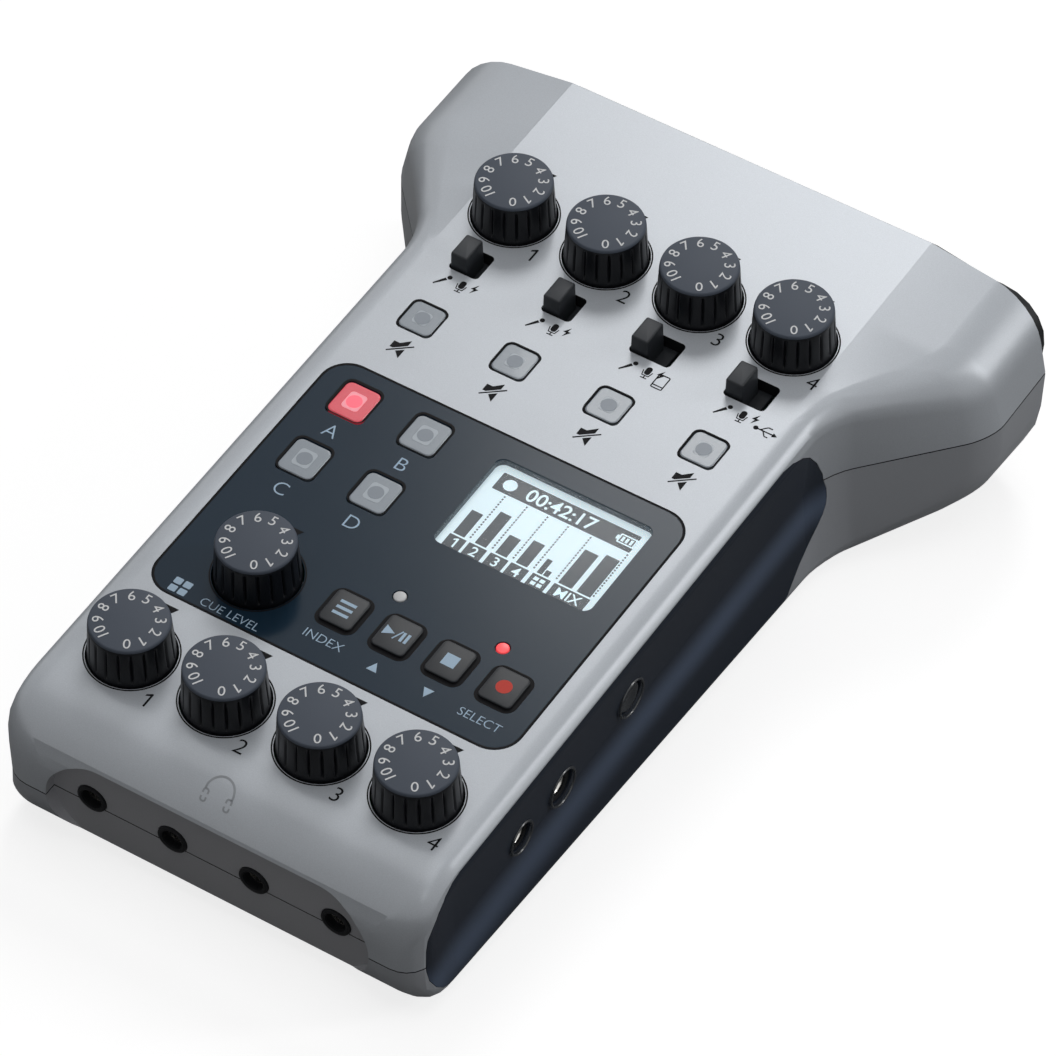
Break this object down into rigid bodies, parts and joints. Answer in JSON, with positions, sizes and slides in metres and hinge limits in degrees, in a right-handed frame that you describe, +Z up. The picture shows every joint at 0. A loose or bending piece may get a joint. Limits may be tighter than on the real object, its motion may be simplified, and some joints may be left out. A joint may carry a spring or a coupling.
{
  "type": "podcast recorder",
  "caption": "Wedge shaped desk podcast recorder with fluted gain and headphone knobs, slide switches, lit pads, transport keys, a small display and microphone sockets in two rear wings.",
  "frame": {"origin": "on the ground below the middle of the body", "axes": "+X to the right of the user, +Y to the rear wings, +Z up; the panel slopes down to the front"},
  "size_m": [0.112, 0.1566, 0.047],
  "materials": {
    "silver_shell": "satin metallic paint",
    "dark_shell": "satin metallic paint",
    "grip": "soft matte",
    "black_plastic": "fine grain",
    "fascia": "semi gloss",
    "clear_window": "clear",
    "display": "display glass",
    "board": "solder mask",
    "metal": "plated",
    "lamp": "diffused",
    "cell": "printed sleeve",
    "rubber": "matte",
    "knob": "fine grain",
    "lever": "satin",
    "lit_pad": "translucent",
    "grey_button": "translucent",
    "dark_key": "satin"
  },
  "bodies": {
    "case": {"top_cover": "silver_shell", "bottom_cover": "dark_shell", "grip_right": "grip", "grip_left": "grip", "rear_panel": "black_plastic", "control_panel": "fascia", "display_window": "clear_window", "display_module": "display", "main_board": "board", "input_board": "board", "pot_bodies": "metal", "slide_switch_bodies": "black_plastic", "tact_switches": "black_plastic", "headphone_jacks": "black_plastic", "xlr_shells": "black_plastic", "xlr_cores": "black_plastic", "side_jacks": "black_plastic", "usb_ports": "metal", "card_slot": "metal", "status_leds": "lamp", "battery_contacts": "metal", "batteries": "cell", "feet": "rubber", "case_screws": "metal"},
    "gain_knob_1": {"gain_knob_1": "knob", "gain_shaft_1": "metal"},
    "gain_knob_2": {"gain_knob_2": "knob", "gain_shaft_2": "metal"},
    "gain_knob_3": {"gain_knob_3": "knob", "gain_shaft_3": "metal"},
    "gain_knob_4": {"gain_knob_4": "knob", "gain_shaft_4": "metal"},
    "phones_knob_1": {"phones_knob_1": "knob", "phones_shaft_1": "metal"},
    "phones_knob_2": {"phones_knob_2": "knob", "phones_shaft_2": "metal"},
    "phones_knob_3": {"phones_knob_3": "knob", "phones_shaft_3": "metal"},
    "phones_knob_4": {"phones_knob_4": "knob", "phones_shaft_4": "metal"},
    "pad_knob": {"pad_knob": "knob", "pad_shaft": "metal"},
    "input_lever_1": {"input_lever_1": "lever"},
    "input_lever_2": {"input_lever_2": "lever"},
    "input_lever_3": {"input_lever_3": "lever"},
    "input_lever_4": {"input_lever_4": "lever"},
    "mute_button_1": {"mute_button_1": "grey_button"},
    "mute_button_2": {"mute_button_2": "grey_button"},
    "mute_button_3": {"mute_button_3": "grey_button"},
    "mute_button_4": {"mute_button_4": "grey_button"},
    "sound_pad_1": {"sound_pad_1": "lit_pad"},
    "sound_pad_2": {"sound_pad_2": "grey_button"},
    "sound_pad_3": {"sound_pad_3": "grey_button"},
    "sound_pad_4": {"sound_pad_4": "grey_button"},
    "transport_key_1": {"transport_key_1": "dark_key"},
    "transport_key_2": {"transport_key_2": "dark_key"},
    "transport_key_3": {"transport_key_3": "dark_key"},
    "transport_key_4": {"transport_key_4": "dark_key"},
    "power_button": {"power_button": "dark_key"},
    "battery_cover": {"battery_cover": "dark_shell"}
  },
  "joints": [
    {"name": "gain_knob_1_turn", "type": "hinge", "parent": "case", "child": "gain_knob_1", "pos_m": [-0.0258, 0.04625, 0.0388], "axis": [0, -0.0932, 0.9956], "range_deg": [-150, 150]},
    {"name": "gain_knob_2_turn", "type": "hinge", "parent": "case", "child": "gain_knob_2", "pos_m": [-0.0086, 0.04625, 0.0388], "axis": [0, -0.0932, 0.9956], "range_deg": [-150, 150]},
    {"name": "gain_knob_3_turn", "type": "hinge", "parent": "case", "child": "gain_knob_3", "pos_m": [0.0086, 0.04625, 0.0388], "axis": [0, -0.0932, 0.9956], "range_deg": [-150, 150]},
    {"name": "gain_knob_4_turn", "type": "hinge", "parent": "case", "child": "gain_knob_4", "pos_m": [0.0258, 0.04625, 0.0388], "axis": [0, -0.0932, 0.9956], "range_deg": [-150, 150]},
    {"name": "phones_knob_1_turn", "type": "hinge", "parent": "case", "child": "phones_knob_1", "pos_m": [-0.0255, -0.06039, 0.02881], "axis": [0, -0.0932, 0.9956], "range_deg": [-150, 150]},
    {"name": "phones_knob_2_turn", "type": "hinge", "parent": "case", "child": "phones_knob_2", "pos_m": [-0.0085, -0.06039, 0.02881], "axis": [0, -0.0932, 0.9956], "range_deg": [-150, 150]},
    {"name": "phones_knob_3_turn", "type": "hinge", "parent": "case", "child": "phones_knob_3", "pos_m": [0.0085, -0.06039, 0.02881], "axis": [0, -0.0932, 0.9956], "range_deg": [-150, 150]},
    {"name": "phones_knob_4_turn", "type": "hinge", "parent": "case", "child": "phones_knob_4", "pos_m": [0.0255, -0.06039, 0.02881], "axis": [0, -0.0932, 0.9956], "range_deg": [-150, 150]},
    {"name": "pad_knob_turn", "type": "hinge", "parent": "case", "child": "pad_knob", "pos_m": [-0.0182, -0.03759, 0.03095], "axis": [0, -0.0932, 0.9956], "range_deg": [-150, 150]},
    {"name": "input_lever_1_slide", "type": "slide", "parent": "case", "child": "input_lever_1", "axis": [1, 0, 0], "range_m": [0, 0.0017]},
    {"name": "input_lever_2_slide", "type": "slide", "parent": "case", "child": "input_lever_2", "axis": [1, 0, 0], "range_m": [0, 0.0017]},
    {"name": "input_lever_3_slide", "type": "slide", "parent": "case", "child": "input_lever_3", "axis": [1, 0, 0], "range_m": [0, 0.0037]},
    {"name": "input_lever_4_slide", "type": "slide", "parent": "case", "child": "input_lever_4", "axis": [1, 0, 0], "range_m": [0, 0.0037]},
    {"name": "mute_button_1_press", "type": "slide", "parent": "case", "child": "mute_button_1", "axis": [0, 0.0932, -0.9956], "range_m": [0, 0.0007], "stiffness_N_per_m": 700, "springref_m": -0.0005},
    {"name": "mute_button_2_press", "type": "slide", "parent": "case", "child": "mute_button_2", "axis": [0, 0.0932, -0.9956], "range_m": [0, 0.0007], "stiffness_N_per_m": 700, "springref_m": -0.0005},
    {"name": "mute_button_3_press", "type": "slide", "parent": "case", "child": "mute_button_3", "axis": [0, 0.0932, -0.9956], "range_m": [0, 0.0007], "stiffness_N_per_m": 700, "springref_m": -0.0005},
    {"name": "mute_button_4_press", "type": "slide", "parent": "case", "child": "mute_button_4", "axis": [0, 0.0932, -0.9956], "range_m": [0, 0.0007], "stiffness_N_per_m": 700, "springref_m": -0.0005},
    {"name": "sound_pad_1_press", "type": "slide", "parent": "case", "child": "sound_pad_1", "axis": [0, 0.0932, -0.9956], "range_m": [0, 0.0007], "stiffness_N_per_m": 700, "springref_m": -0.0005},
    {"name": "sound_pad_2_press", "type": "slide", "parent": "case", "child": "sound_pad_2", "axis": [0, 0.0932, -0.9956], "range_m": [0, 0.0007], "stiffness_N_per_m": 700, "springref_m": -0.0005},
    {"name": "sound_pad_3_press", "type": "slide", "parent": "case", "child": "sound_pad_3", "axis": [0, 0.0932, -0.9956], "range_m": [0, 0.0007], "stiffness_N_per_m": 700, "springref_m": -0.0005},
    {"name": "sound_pad_4_press", "type": "slide", "parent": "case", "child": "sound_pad_4", "axis": [0, 0.0932, -0.9956], "range_m": [0, 0.0007], "stiffness_N_per_m": 700, "springref_m": -0.0005},
    {"name": "transport_key_1_press", "type": "slide", "parent": "case", "child": "transport_key_1", "axis": [0, 0.0932, -0.9956], "range_m": [0, 0.0007], "stiffness_N_per_m": 700, "springref_m": -0.0005},
    {"name": "transport_key_2_press", "type": "slide", "parent": "case", "child": "transport_key_2", "axis": [0, 0.0932, -0.9956], "range_m": [0, 0.0007], "stiffness_N_per_m": 700, "springref_m": -0.0005},
    {"name": "transport_key_3_press", "type": "slide", "parent": "case", "child": "transport_key_3", "axis": [0, 0.0932, -0.9956], "range_m": [0, 0.0007], "stiffness_N_per_m": 700, "springref_m": -0.0005},
    {"name": "transport_key_4_press", "type": "slide", "parent": "case", "child": "transport_key_4", "axis": [0, 0.0932, -0.9956], "range_m": [0, 0.0007], "stiffness_N_per_m": 700, "springref_m": -0.0005},
    {"name": "power_button_press", "type": "slide", "parent": "case", "child": "power_button", "axis": [-1, 0, 0], "range_m": [0, 0.0007], "stiffness_N_per_m": 700, "springref_m": -0.0005},
    {"name": "battery_cover_hinge", "type": "hinge", "parent": "case", "child": "battery_cover", "pos_m": [0, -0.02136, 0.0018], "axis": [-1, 0, 0], "range_deg": [0, 80]}
  ]
}
